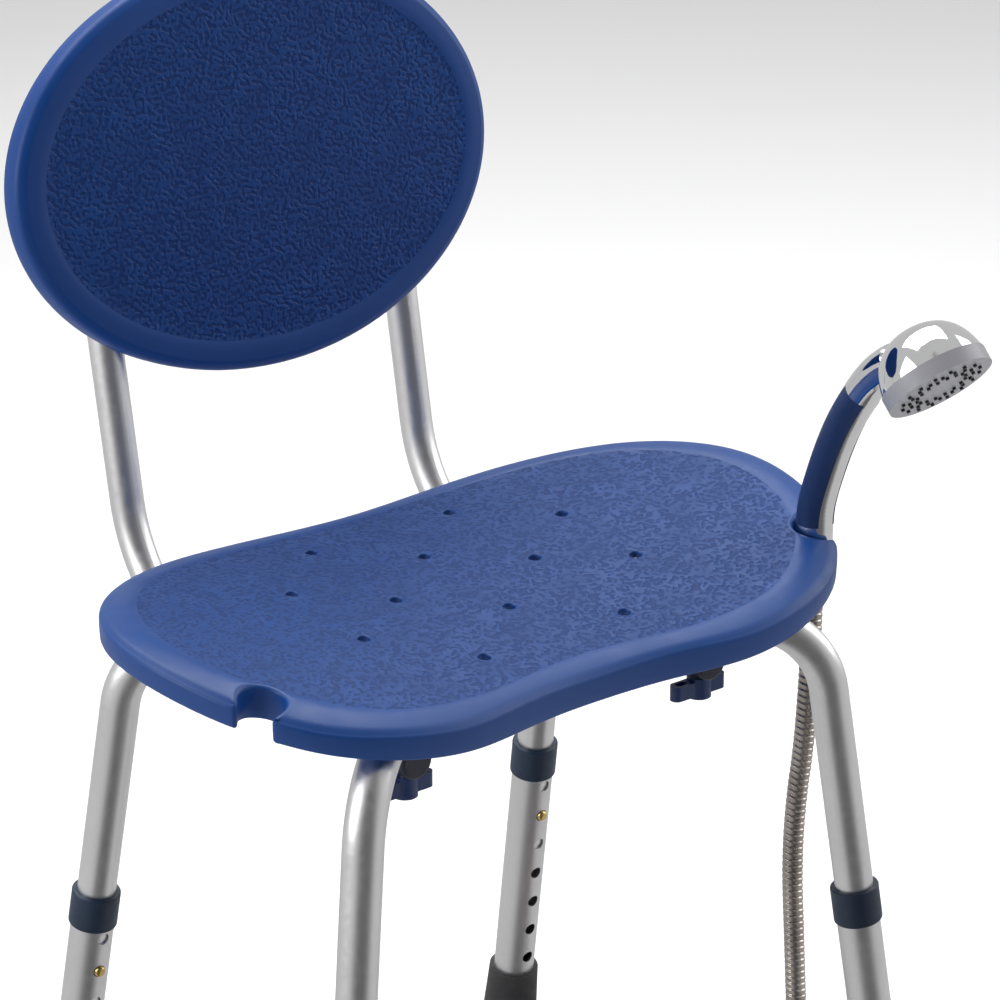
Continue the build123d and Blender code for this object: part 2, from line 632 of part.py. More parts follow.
with BuildPart() as grip_blank:
    for side in (1, -1):
        with BuildLine():
            spine = [DOCK + Vector(0, y, z) for y, z in HANDLE_SPINE[:4]]
            Spline(*spine, tangents=[(0, 0, 1), (0, -0.62, 0.82)])
        with BuildSketch(Plane(origin=DOCK, z_dir=(0, 0, 1))):
            grip_sector(HANDLE_RADIUS - GRIP_DEEP, HANDLE_RADIUS + 0.3, side)
        sweep()
grip_blank.part.label = "handset_grips"
export_step(grip_blank.part, "parts/handset_grips.step")

HEAD_PLANE = Plane(origin=FACE, x_dir=(1, 0, 0), z_dir=-SPRAY_WAY)  # Z up the back of the head
RING_HEIGHT, DOME_HEIGHT = 12.0, 30.0
with BuildPart() as handset_body:
    with BuildLine():
        handle_line()
    with BuildSketch(Plane(origin=DOCK - Vector(0, 0, HANDLE_FOOT), z_dir=(0, 0, 1))):
        Circle(HANDLE_RADIUS)
    sweep()
    add(grip_blank.part, mode=Mode.SUBTRACT)
    with BuildSketch(HEAD_PLANE.offset(RING_HEIGHT)):
        Circle(HEAD_RADIUS - 0.6)
    with BuildSketch(HEAD_PLANE.offset(RING_HEIGHT + 0.6 * DOME_HEIGHT)):
        Circle(HEAD_RADIUS * 0.80)
    with BuildSketch(HEAD_PLANE.offset(RING_HEIGHT + DOME_HEIGHT)):
        Circle(HEAD_RADIUS * 0.30)
    loft()
handset_body.part.label = "handset_body"
export_step(handset_body.part, "parts/handset_body.step")

with BuildPart() as spray_ring:
    with BuildSketch(HEAD_PLANE.offset(1.5)):
        Circle(HEAD_RADIUS)
        Circle(HEAD_RADIUS - 3, mode=Mode.SUBTRACT)
    extrude(amount=RING_HEIGHT - 1.5)
spray_ring.part.label = "spray_ring"
export_step(spray_ring.part, "parts/spray_ring.step")

NOZZLE_SPOKES, NOZZLE_RINGS = 16, (17.0, 22.0, 27.0)
with BuildPart() as spray_face:
    with BuildSketch(HEAD_PLANE.offset(1.5)):
        Circle(HEAD_RADIUS - 3)
    extrude(amount=5)
    with BuildSketch(HEAD_PLANE.offset(1.5)):
        for index, radius in enumerate(NOZZLE_RINGS):
            with PolarLocations(radius, NOZZLE_SPOKES, start_angle=11.25 * (index % 2)):
                Circle(1.25)
    extrude(amount=5, mode=Mode.SUBTRACT)
spray_face.part.label = "spray_face"
export_step(spray_face.part, "parts/spray_face.step")

with BuildPart() as spray_nozzles:
    with BuildSketch(HEAD_PLANE):
        for index, radius in enumerate(NOZZLE_RINGS):
            with PolarLocations(radius, NOZZLE_SPOKES, start_angle=11.25 * (index % 2)):
                Circle(1.2)
    extrude(amount=6.5)
spray_nozzles.part.label = "spray_nozzles"
export_step(spray_nozzles.part, "parts/spray_nozzles.step")

HOSE_TOP = DOCK.Z - HANDLE_FOOT - 16
with BuildPart() as hose_nut:
    with BuildSketch(Plane.XY.offset(DOCK.Z - HANDLE_FOOT)):
        with Locations((DOCK.X, DOCK.Y)):
            Circle(11.0)
    with BuildSketch(Plane.XY.offset(HOSE_TOP)):
        with Locations((DOCK.X, DOCK.Y)):
            Circle(8.2)
    loft()
hose_nut.part.label = "hose_nut"
export_step(hose_nut.part, "parts/hose_nut.step")

# ---- Hose: hangs to the floor, then lies in a coil beneath the seat ----
COIL_X, COIL_Y = DOCK.X - COIL_RADIUS, DOCK.Y + 88
HOSE_ROUTE = [
    (DOCK.X, DOCK.Y, HOSE_TOP), (DOCK.X, DOCK.Y, HOSE_TOP - 90),
    (DOCK.X - 5, DOCK.Y + 9, HOSE_TOP - 185), (DOCK.X - 3, DOCK.Y + 4, HOSE_TOP - 275),
    (DOCK.X + 1, DOCK.Y + 3, 78), (DOCK.X + 1, DOCK.Y + 24, 22),
    (DOCK.X + 0.5, DOCK.Y + 66, HOSE_RADIUS + 0.5), (DOCK.X, COIL_Y, HOSE_RADIUS + 0.3),
]


def route_bends(points, share=0.45):
    """The largest arc that the two runs at each corner have room for."""
    spots = [Vector(*p) for p in points]
    found = []
    for before, at, after in zip(spots, spots[1:], spots[2:]):
        turn = radians((at - before).get_angle(after - at))
        shorter = min((at - before).length, (after - at).length)
        found.append(share * shorter / tan(turn / 2))
    return found


hose_bends = route_bends(HOSE_ROUTE)
print("hose radii", [round(r) for r in hose_bends])
with BuildPart() as hose_run:
    with BuildLine() as hose_path:
        FilletPolyline(*HOSE_ROUTE, radius=hose_bends)
    with BuildSketch(Plane(origin=hose_path.line @ 0, z_dir=hose_path.line % 0)):
        Circle(HOSE_RADIUS)
    sweep()
hose_length = hose_path.wire().length
print("hose run", round(hose_length), "mm, volume ratio",
      hose_run.part.volume / (pi * HOSE_RADIUS**2 * hose_length))
hose_run.part.label = "hose_run"
export_step(hose_run.part, "parts/hose_run.step")

COIL_PITCH = 2 * HOSE_RADIUS + 0.6
COIL_WIDE = COIL_RADIUS + HOSE_RADIUS + 0.5
with BuildPart() as hose_coil:
    with BuildSketch():
        with Locations((COIL_X, COIL_Y)):
            Circle(COIL_WIDE)
            Circle(COIL_RADIUS - HOSE_RADIUS - 0.5, mode=Mode.SUBTRACT)
    extrude(amount=COIL_TURNS * COIL_PITCH)
    fillet(hose_coil.edges().filter_by(GeomType.CIRCLE), 5)
hose_coil.part.label = "hose_coil"
export_step(hose_coil.part, "parts/hose_coil.step")

# a short tail comes down off the coil's top and ends in the wall-side nut on the floor
NUT_LENGTH, NUT_FLAT, NUT_BORE, NUT_DEPTH = 22.0, 12.0, 9.5, 14.0
TAIL_TOP = COIL_TURNS * COIL_PITCH + HOSE_RADIUS - 0.4
TAIL_ROUTE = [
    (DOCK.X, COIL_Y + 4, TAIL_TOP), (DOCK.X + 1, COIL_Y + 34, TAIL_TOP),
    (DOCK.X + 6, COIL_Y + 86, NUT_FLAT + 0.2), (DOCK.X + 6, COIL_Y + 108, NUT_FLAT + 0.2),
]
with BuildPart() as hose_tail:
    with BuildLine() as tail_path:
        FilletPolyline(*TAIL_ROUTE, radius=route_bends(TAIL_ROUTE))
    with BuildSketch(Plane(origin=tail_path.line @ 0, z_dir=tail_path.line % 0)):
        Circle(HOSE_RADIUS)
    sweep()
print("tail", round(tail_path.wire().length), "mm")
hose_tail.part.label = "hose_tail"
export_step(hose_tail.part, "parts/hose_tail.step")

nut_start = Plane(origin=TAIL_ROUTE[-1], x_dir=(1, 0, 0), z_dir=(0, 1, 0))
with BuildPart() as hose_wall_nut:
    with BuildSketch(nut_start):
        RegularPolygon(NUT_FLAT, 6, major_radius=False)
    extrude(amount=NUT_LENGTH)
    with BuildSketch(nut_start.offset(NUT_LENGTH)):
        Circle(NUT_BORE)
    extrude(amount=-NUT_DEPTH, mode=Mode.SUBTRACT)
hose_wall_nut.part.label = "hose_wall_nut"
export_step(hose_wall_nut.part, "parts/hose_wall_nut.step")
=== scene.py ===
"""Looks of the shower chair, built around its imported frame. Metres, +Z up, +Y to the back."""

import json
from math import atan2, cos, pi, radians, sin, sqrt

import bpy
import numpy as np
from mathutils import Matrix, Vector
from mathutils.geometry import delaunay_2d_cdt


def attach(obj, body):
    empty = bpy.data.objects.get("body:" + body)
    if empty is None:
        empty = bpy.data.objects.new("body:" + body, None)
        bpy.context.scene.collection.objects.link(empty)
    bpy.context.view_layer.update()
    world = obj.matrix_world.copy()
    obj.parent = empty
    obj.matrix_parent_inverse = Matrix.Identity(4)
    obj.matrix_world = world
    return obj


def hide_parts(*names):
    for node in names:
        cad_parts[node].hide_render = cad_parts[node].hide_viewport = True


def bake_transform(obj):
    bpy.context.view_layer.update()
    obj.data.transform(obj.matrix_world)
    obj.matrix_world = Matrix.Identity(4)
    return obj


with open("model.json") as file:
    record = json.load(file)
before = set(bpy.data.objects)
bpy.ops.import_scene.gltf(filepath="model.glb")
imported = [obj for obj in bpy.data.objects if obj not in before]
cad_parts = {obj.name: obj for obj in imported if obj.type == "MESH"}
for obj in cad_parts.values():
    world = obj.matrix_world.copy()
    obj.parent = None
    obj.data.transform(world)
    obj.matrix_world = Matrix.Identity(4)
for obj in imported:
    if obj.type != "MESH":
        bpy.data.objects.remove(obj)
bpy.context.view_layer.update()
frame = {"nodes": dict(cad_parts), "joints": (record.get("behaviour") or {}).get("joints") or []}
scene = bpy.context.scene
MM = 0.001

# ---- Driving sizes, as in the CAD model ----
SEAT_Z, SEAT_Y = 0.460, -0.0224
SEAT_RISE_RADIUS, SEAT_FALL_RADIUS, CROWN_Y = 1.269, 1.603, 0.120
SEAT_SKIN, SEAT_THICK = 0.005, 0.022
NOTCH = (0.220, -0.085)
NOTCH_RADIUS, NOTCH_MOUTH = 0.0145, 0.021
NOTCH_OUT = (0.88, -0.475)
BAND_SLOPE = 11.0  # how fast the smooth band falls away outside the textured field
BACK_LEAN = 0.181
RAIL_RADIUS = 0.0111
PANEL_HALF_WIDTH, PANEL_HALF_HEIGHT, PANEL_THICK = 0.186, 0.134, 0.020
PANEL_RISE, UPRIGHT_Y, UPRIGHT_RISE = 0.216, 0.2184, 0.100
LEAN = atan2(BACK_LEAN, 1)

# ---- Camera ----
VIEW_AZIMUTH, VIEW_ELEVATION = radians(-38.96), radians(21.2)
VIEW_TARGET = Vector((0.0962, 0.0626, SEAT_Z))
VIEW_DISTANCE, LENS = 2.749, 150.4


def add_camera():
    data = bpy.data.cameras.new("camera")
    data.lens = LENS
    data.sensor_width = 36
    data.clip_end = 60
    camera = bpy.data.objects.new("camera", data)
    scene.collection.objects.link(camera)
    back = Vector((sin(VIEW_AZIMUTH) * cos(VIEW_ELEVATION),
                   -cos(VIEW_AZIMUTH) * cos(VIEW_ELEVATION), sin(VIEW_ELEVATION)))
    camera.location = VIEW_TARGET + back * VIEW_DISTANCE
    camera.rotation_euler = (pi / 2 - VIEW_ELEVATION, 0, VIEW_AZIMUTH)
    scene.camera = camera


# ---- Small helpers ----
def new_object(name, verts, faces, material_list, face_slots=None, smooth=True):
    mesh = bpy.data.meshes.new(name)
    mesh.from_pydata([tuple(v) for v in verts], [], faces)
    for material in material_list:
        mesh.materials.append(material)
    if face_slots is not None:
        mesh.polygons.foreach_set("material_index", face_slots)
    mesh.validate()
    if smooth:
        mesh.shade_smooth()
    mesh.update()
    ob = bpy.data.objects.new(name, mesh)
    scene.collection.objects.link(ob)
    return ob


# ---- Materials ----
class Shader:
    """A small builder for one node material."""

    def __init__(self, name):
        self.material = bpy.data.materials.new(name)
        self.material.use_nodes = True
        self.tree = self.material.node_tree
        self.bsdf = self.tree.nodes["Principled BSDF"]

    def node(self, kind, **inputs):
        made = self.tree.nodes.new(kind)
        for key, value in inputs.items():
            made.inputs[key.replace("_", " ")].default_value = value
        return made

    def link(self, out, into):
        self.tree.links.new(out, into)

    def set(self, **values):
        for key, value in values.items():
            self.bsdf.inputs[key.replace("_", " ")].default_value = value

    def place(self):
        return self.tree.nodes.new("ShaderNodeTexCoord").outputs["Object"]

    def noise(self, scale, detail=2.0, stretch=None, roughness=0.5):
        tex = self.node("ShaderNodeTexNoise", Scale=scale, Detail=detail, Roughness=roughness)
        if stretch:
            mapping = self.node("ShaderNodeMapping", Scale=stretch)
            self.link(self.place(), mapping.inputs["Vector"])
            self.link(mapping.outputs["Vector"], tex.inputs["Vector"])
        else:
            self.link(self.place(), tex.inputs["Vector"])
        return tex.outputs["Fac"]

    def remap(self, value, low, high, to_low, to_high):
        made = self.node("ShaderNodeMapRange", From_Min=low, From_Max=high,
                         To_Min=to_low, To_Max=to_high)
        self.link(value, made.inputs["Value"])
        return made.outputs["Result"]

    def ramp(self, value, stops):
        made = self.tree.nodes.new("ShaderNodeValToRGB")
        while len(made.color_ramp.elements) < len(stops):
            made.color_ramp.elements.new(0.5)
        for element, (at, colour) in zip(made.color_ramp.elements, stops):
            element.position = at
            element.color = (*colour, 1)
        self.link(value, made.inputs["Fac"])
        return made.outputs["Color"]

    def bump(self, height, strength, distance, before=None):
        made = self.node("ShaderNodeBump", Strength=strength, Distance=distance)
        self.link(height, made.inputs["Height"])
        if before is not None:
            self.link(before, made.inputs["Normal"])
        return made.outputs["Normal"]

    def colour(self, value):
        self.link(value, self.bsdf.inputs["Base Color"])

    def rough(self, value):
        self.link(value, self.bsdf.inputs["Roughness"])

    def normal(self, value):
        self.link(value, self.bsdf.inputs["Normal"])


def blue_plastic(name, deep, light, roughness=(0.38, 0.5), specular=0.4):
    """Moulded plastic with faint flow marks, fine scratches and uneven gloss."""
    s = Shader(name)
    s.set(Specular_IOR_Level=specular)
    s.colour(s.ramp(s.noise(9, 4), [(0.3, deep), (0.7, light)]))
    s.rough(s.remap(s.noise(60, 5, roughness=0.65), 0.3, 0.7, *roughness))
    grain = s.bump(s.noise(1600, 2), 0.10, 0.0002)
    s.normal(s.bump(s.noise(120, 3, stretch=(1, 9, 1)), 0.08, 0.0004, grain))
    return s.material


def worm_plastic(name, deep, light, groove_shade, specular=0.32):
    """The same plastic with a moulded pattern of short worm-like grooves, and painted shade: a darker
    colour laid into the grooves.
    """
    s = Shader(name)
    s.set(Specular_IOR_Level=specular)
    worms = s.node("ShaderNodeTexGabor", Scale=200, Frequency=1.15, Anisotropy=0.0)
    worms.gabor_type = "3D"
    s.link(s.place(), worms.inputs["Vector"])
    line = s.remap(worms.outputs["Value"], 0.40, 0.54, 0.0, 1.0)
    patch = s.remap(s.noise(45, 3), 0.35, 0.65, 0.55, 1.0)
    cut = s.tree.nodes.new("ShaderNodeMath")
    cut.operation = "MULTIPLY"
    s.link(line, cut.inputs[0])
    s.link(patch, cut.inputs[1])
    base = s.ramp(s.noise(9, 4), [(0.3, deep), (0.7, light)])
    # painted shade: where the pattern is low, in the grooves, the colour is mixed towards a darker
    # blue
    mix = s.tree.nodes.new("ShaderNodeMix")
    mix.data_type = "RGBA"
    s.link(cut.outputs[0], mix.inputs["Factor"])
    mix.inputs[6].default_value = (*groove_shade, 1)
    s.link(base, mix.inputs[7])
    s.colour(mix.outputs[2])
    s.rough(s.remap(cut.outputs[0], 0, 1, 0.62, 0.44))
    grain = s.bump(s.noise(1500, 2), 0.10, 0.0002)
    s.normal(s.bump(cut.outputs[0], 0.8, 0.0007, grain))
    return s.material


def satin_aluminium(name, tone=0.80, roughness=(0.30, 0.42)):
    """Anodised tube: satin, with a fine drawn grain and soft cloudiness."""
    s = Shader(name)
    s.set(Metallic=1.0)
    s.colour(s.ramp(s.noise(14, 4), [(0.3, (tone * 0.94, tone * 0.93, tone * 0.94)),
                                     (0.7, (tone, tone, tone * 1.01))]))
    s.rough(s.remap(s.noise(220, 4), 0.3, 0.7, *roughness))
    s.normal(s.bump(s.noise(2200, 2), 0.12, 0.0002))
    return s.material


def metal(name, low, high, roughness, grain=900, depth=0.1):
    s = Shader(name)
    s.set(Metallic=1.0)
    s.colour(s.ramp(s.noise(30, 4), [(0.3, low), (0.7, high)]))
    s.rough(s.remap(s.noise(180, 4), 0.3, 0.7, *roughness))
    s.normal(s.bump(s.noise(grain, 3), depth, 0.0002))
    return s.material


def dull(name, low, high, roughness, grain=900, depth=0.15, specular=0.5):
    """Rubber or moulded plastic with a fine skin texture."""
    s = Shader(name)
    s.set(Specular_IOR_Level=specular)
    s.colour(s.ramp(s.noise(26, 4), [(0.3, low), (0.7, high)]))
    s.rough(s.remap(s.noise(150, 4), 0.3, 0.7, *roughness))
    s.normal(s.bump(s.noise(grain, 3), depth, 0.0004))
    return s.material


# the third colour of each set is painted shade, the darker blue laid into the worm pattern's grooves
SEAT_DEEP, SEAT_LIGHT, SEAT_GROOVE_SHADE = (
    (0.002, 0.044, 0.205), (0.003, 0.052, 0.235), (0.001, 0.030, 0.150))
BACK_DEEP, BACK_LIGHT, BACK_GROOVE_SHADE = (
    (0.002, 0.042, 0.205), (0.003, 0.050, 0.235), (0.001, 0.027, 0.145))
MATERIALS = {
    "seat_band": blue_plastic("seat_band", SEAT_DEEP, SEAT_LIGHT),
    "seat_worm": worm_plastic("seat_worm", SEAT_DEEP, SEAT_LIGHT, SEAT_GROOVE_SHADE),
    "back_band": blue_plastic("back_band", BACK_DEEP, BACK_LIGHT, specular=0.3),
    "back_worm": worm_plastic("back_worm", BACK_DEEP, BACK_LIGHT, BACK_GROOVE_SHADE, 0.2),
    "frame": satin_aluminium("frame_aluminium"),
    "leg": satin_aluminium("leg_aluminium", 0.76, (0.34, 0.46)),
    "collar": dull("collar_plastic", (0.001, 0.012, 0.036), (0.002, 0.018, 0.050), (0.4, 0.55)),
    "cap": dull("cap_plastic", (0.010, 0.014, 0.028), (0.015, 0.020, 0.038), (0.4, 0.55)),
    "knob": dull("knob_plastic", (0.003, 0.020, 0.095), (0.005, 0.030, 0.125), (0.3, 0.45)),
    "foot": dull("foot_rubber", (0.020, 0.020, 0.022), (0.035, 0.035, 0.037), (0.6, 0.8)),
    "brass": metal("button_brass", (0.55, 0.38, 0.13), (0.75, 0.55, 0.22), (0.15, 0.28)),
    "zinc": metal("zinc_steel", (0.45, 0.46, 0.48), (0.62, 0.63, 0.65), (0.25, 0.45)),
    "spring": metal("spring_steel", (0.5, 0.5, 0.5), (0.62, 0.62, 0.62), (0.2, 0.35)),
    "chrome": metal("handset_chrome", (0.74, 0.74, 0.75), (0.80, 0.80, 0.81), (0.03, 0.07), 40, 0.01),
    "grip": dull("grip_rubber", (0.001, 0.018, 0.085), (0.002, 0.026, 0.112), (0.42, 0.6), 1500, 0.4),
    "spray": dull("spray_plastic", (0.27, 0.27, 0.30), (0.32, 0.32, 0.35), (0.3, 0.42)),
    "nozzle": dull("nozzle_rubber", (0.008, 0.008, 0.009), (0.015, 0.015, 0.017), (0.4, 0.55)),
    "hose": metal("hose_steel", (0.34, 0.30, 0.275), (0.50, 0.455, 0.42), (0.2, 0.36), 500, 0.1),
}
NODE_LOOKS = {
    "leg_frame": "frame", "backrest_hoop": "frame", "lower_tube": "leg", "collar": "collar",
    "foot_washer": "zinc", "foot_": "foot", "snap_button": "brass", "button_spring": "spring",
    "rail_cap": "cap", "rail_saddles": "cap", "tube_plugs": "cap", "clamp_knob": "knob",
    "clamp_stud": "zinc", "clamp_inserts": "zinc", "cross_": "zinc", "seat_screw": "zinc",
    "backrest_screw": "zinc", "handset_body": "chrome", "handset_grips": "grip",
    "spray_ring": "spray", "spray_face": "spray", "spray_nozzles": "nozzle",
    "hose_": "chrome", "seat_panel": "seat_band", "backrest_panel": "back_band",
}


def dress_nodes():
    """Give every CAD node its material."""
    for node, ob in frame["nodes"].items():
        look = next(key for key in NODE_LOOKS if node.startswith(key))
        ob.data.materials.clear()
        ob.data.materials.append(MATERIALS[NODE_LOOKS[look]])


# ---- Outlines ----
SEAT_OUTLINE = [
    (0, -134), (55, -138), (110, -147), (160, -142), (205, -121), (236, -84), (254, -30),
    (251, 30), (224, 76), (178, 109), (115, 130), (50, 131), (0, 129),
]  # the right half, front to back, in millimetres, as in the CAD model
SEAT_TEXTURE = [
    (0, -115), (40, -118.5), (77, -125), (115, -127), (150, -122.5), (178, -109), (203, -87),
    (221, -58), (231, -20), (229, 20), (213, 56), (185, 86), (150, 104), (105, 114), (50, 118),
    (0, 118),
]


def both_halves(right):
    right = [(x * MM, y * MM) for x, y in right]
    return right + [(-x, y) for x, y in reversed(right[1:-1])]


def closed_spline(points, spacing):
    """Evenly spaced points on the smooth closed curve through a few points."""
    p = np.array(points)
    m = len(p)
    h = np.linalg.norm(np.roll(p, -1, 0) - p, axis=1)
    slope = (np.roll(p, -1, 0) - p) / h[:, None]
    matrix = np.zeros((m, m))
    for i in range(m):
        matrix[i, i - 1] = h[i - 1]
        matrix[i, i] = 2 * (h[i - 1] + h[i])
        matrix[i, (i + 1) % m] = h[i]
    second = np.linalg.solve(matrix, 6 * (slope - np.roll(slope, 1, 0)))
    fine = []
    for i in range(m):
        j = (i + 1) % m
        for t in np.arange(0, 1, 0.02):
            a, b = 1 - t, t
            bend = (a**3 - a) * second[i] + (b**3 - b) * second[j]
            fine.append(a * p[i] + b * p[j] + bend * h[i] ** 2 / 6)
    return resample(np.array(fine), spacing)


def resample(loop, spacing):
    """Points a fixed distance apart on a closed line."""
    closed = np.vstack([loop, loop[:1]])
    lengths = np.r_[0, np.cumsum(np.linalg.norm(np.diff(closed, axis=0), axis=1))]
    count = max(12, int(round(lengths[-1] / spacing)))
    at = np.linspace(0, lengths[-1], count, endpoint=False)
    return np.stack([np.interp(at, lengths, closed[:, k]) for k in (0, 1)], 1)


def inside(points, loop):
    """True for the points within a closed line."""
    x, y = points[:, 0][:, None], points[:, 1][:, None]
    ax, ay = loop[:, 0][None], loop[:, 1][None]
    bx, by = np.roll(loop[:, 0], -1)[None], np.roll(loop[:, 1], -1)[None]
    spans = (ay > y) != (by > y)
    with np.errstate(divide="ignore", invalid="ignore"):
        crossing = ax + (y - ay) * (bx - ax) / (by - ay)
    return (spans & (x < crossing)).sum(1) % 2 == 1


def inset(loop, distance):
    """Move a closed counter-clockwise line inwards."""
    tangent = np.roll(loop, -1, 0) - np.roll(loop, 1, 0)
    tangent /= np.linalg.norm(tangent, axis=1)[:, None]
    return loop + distance * np.stack([-tangent[:, 1], tangent[:, 0]], 1)


def cut_notches(loop):
    """Open a round pocket with a narrow mouth in each side of the seat's outline."""
    for side in (1, -1):
        centre = np.array([side * NOTCH[0], NOTCH[1]])
        out = np.array([side * NOTCH_OUT[0], NOTCH_OUT[1]])
        out /= np.linalg.norm(out)
        across = np.array([-out[1], out[0]])
        local = loop - centre
        along, over = local @ out, local @ across
        gone = (along > 0) & (np.abs(over) < NOTCH_MOUTH / 2)
        start = int(np.argmax(gone & ~np.roll(gone, 1)))
        loop = np.roll(loop, -start, axis=0)
        kept = loop[int(gone.sum()):]
        reach = sqrt(NOTCH_RADIUS**2 - (NOTCH_MOUTH / 2) ** 2)
        half = atan2(NOTCH_MOUTH / 2, reach)
        turns = np.linspace(-half, half - 2 * pi, 60)
        pocket = [centre + NOTCH_RADIUS * (cos(a) * out + sin(a) * across) for a in turns]
        path = np.vstack([kept, np.array(pocket)])
        loop = resample(path, 0.0012)
        near = np.linalg.norm(loop - centre, axis=1) < 0.030
        for _ in range(9):
            softened = (np.roll(loop, 1, 0) + 2 * loop + np.roll(loop, -1, 0)) / 4
            loop[near] = softened[near]
    return loop


def torus_rise(x, y):
    """Height of the seat's saddle-shaped top, from the drain pattern's centre."""
    fall = sqrt(SEAT_FALL_RADIUS**2 - (y - CROWN_Y) ** 2) - SEAT_FALL_RADIUS
    return SEAT_RISE_RADIUS - sqrt((SEAT_RISE_RADIUS - fall) ** 2 - x * x)


def flat_rise(x, y):
    return 0.0


def distance_outside(points, loop):
    """How far each point lies outside a closed line, and 0 within it."""
    start, end = loop, np.roll(loop, -1, 0)
    way = (end - start)[None]
    offset = points[:, None] - start[None]
    share = np.clip((offset * way).sum(2) / (way * way).sum(2), 0, 1)
    gap = np.linalg.norm(offset - share[..., None] * way, axis=2).min(1)
    return np.where(inside(points, loop), 0.0, gap)


FIELD_STEP = 0.0004  # the textured field lies this much below the band
BAND_RINGS = (0.0065, 0.0095, 0.0130, 0.0170)  # rows of vertices inwards from the outline
GRID_SPACING, GRID_GAP = 0.0075, 0.0035
# how the rim goes on below its shoulder: inwards from the outline, and down from the top
FOOT = ((0.0003, -0.0016), (0.0008, -0.0006), (0.0020, 0.0), (0.0034, -0.0002), (0.0042, -0.0014))
# how a drain's edge is rounded: inwards from its circle, and down
DRAIN_EDGE = ((0.0004, 0.00015), (0.0008, 0.0006), (0.0010, 0.0013), (0.0010, SEAT_SKIN - 0.0004))


def circle_points(x, y, radius, count=28):
    turns = np.linspace(0, 2 * pi, count, endpoint=False)
    return np.stack([x + radius * np.cos(turns), y + radius * np.sin(turns)], 1)


def band_points(outline, texture):
    """Rows of points in the smooth band, where it has room for them."""
    rows = []
    for push in BAND_RINGS:
        ring = inset(outline, push)
        away = distance_outside(ring, texture) > 0.0022
        clear = np.linalg.norm(ring[:, None] - outline[None], axis=2).min(1) > 0.96 * push
        rows.append(ring[away & clear])
    return np.vstack(rows)


def grid_points(edge, drain_loops, taken):
    """A triangular grid within the edge, clear of the drains and of the other points."""
    low, high = edge.min(0), edge.max(0)
    grid = []
    for row, y in enumerate(np.arange(low[1], high[1], GRID_SPACING * 0.87)):
        for x in np.arange(low[0], high[0], GRID_SPACING):
            grid.append((x + (row % 2) * GRID_SPACING / 2, y))
    grid = np.array(grid)
    grid = grid[inside(grid, edge)]
    gap = np.min(np.linalg.norm(grid[:, None] - taken[None], axis=2), axis=1)
    grid = grid[gap > GRID_GAP]
    for ring in drain_loops:
        grid = grid[~inside(grid, ring)]
    return grid


def filled_top(outline, edge, texture, drain_loops):
    """Flat points and triangles of the shell's top, with holes for the drains."""
    loops = [edge, texture, inset(texture, 0.0012)] + drain_loops
    fixed = np.vstack(loops)
    extra = band_points(outline, texture)
    grid = grid_points(edge, drain_loops, np.vstack([fixed, extra]))
    points = [Vector(p) for p in np.vstack([fixed, extra, grid])]
    edges, first = [], 0
    for loop in loops:
        count = len(loop)
        edges += [(first + i, first + (i + 1) % count) for i in range(count)]
        first += count
    out = delaunay_2d_cdt(points, edges, [], 0, 1e-7)
    flat = np.array([tuple(v) for v in out[0]])
    triangles = np.array(out[2])
    middle = flat[triangles].mean(1)
    keep = inside(middle, edge)
    for ring in drain_loops:
        keep &= ~inside(middle, ring)
    return flat, triangles[keep], inside(middle[keep], inset(texture, 0.0012))


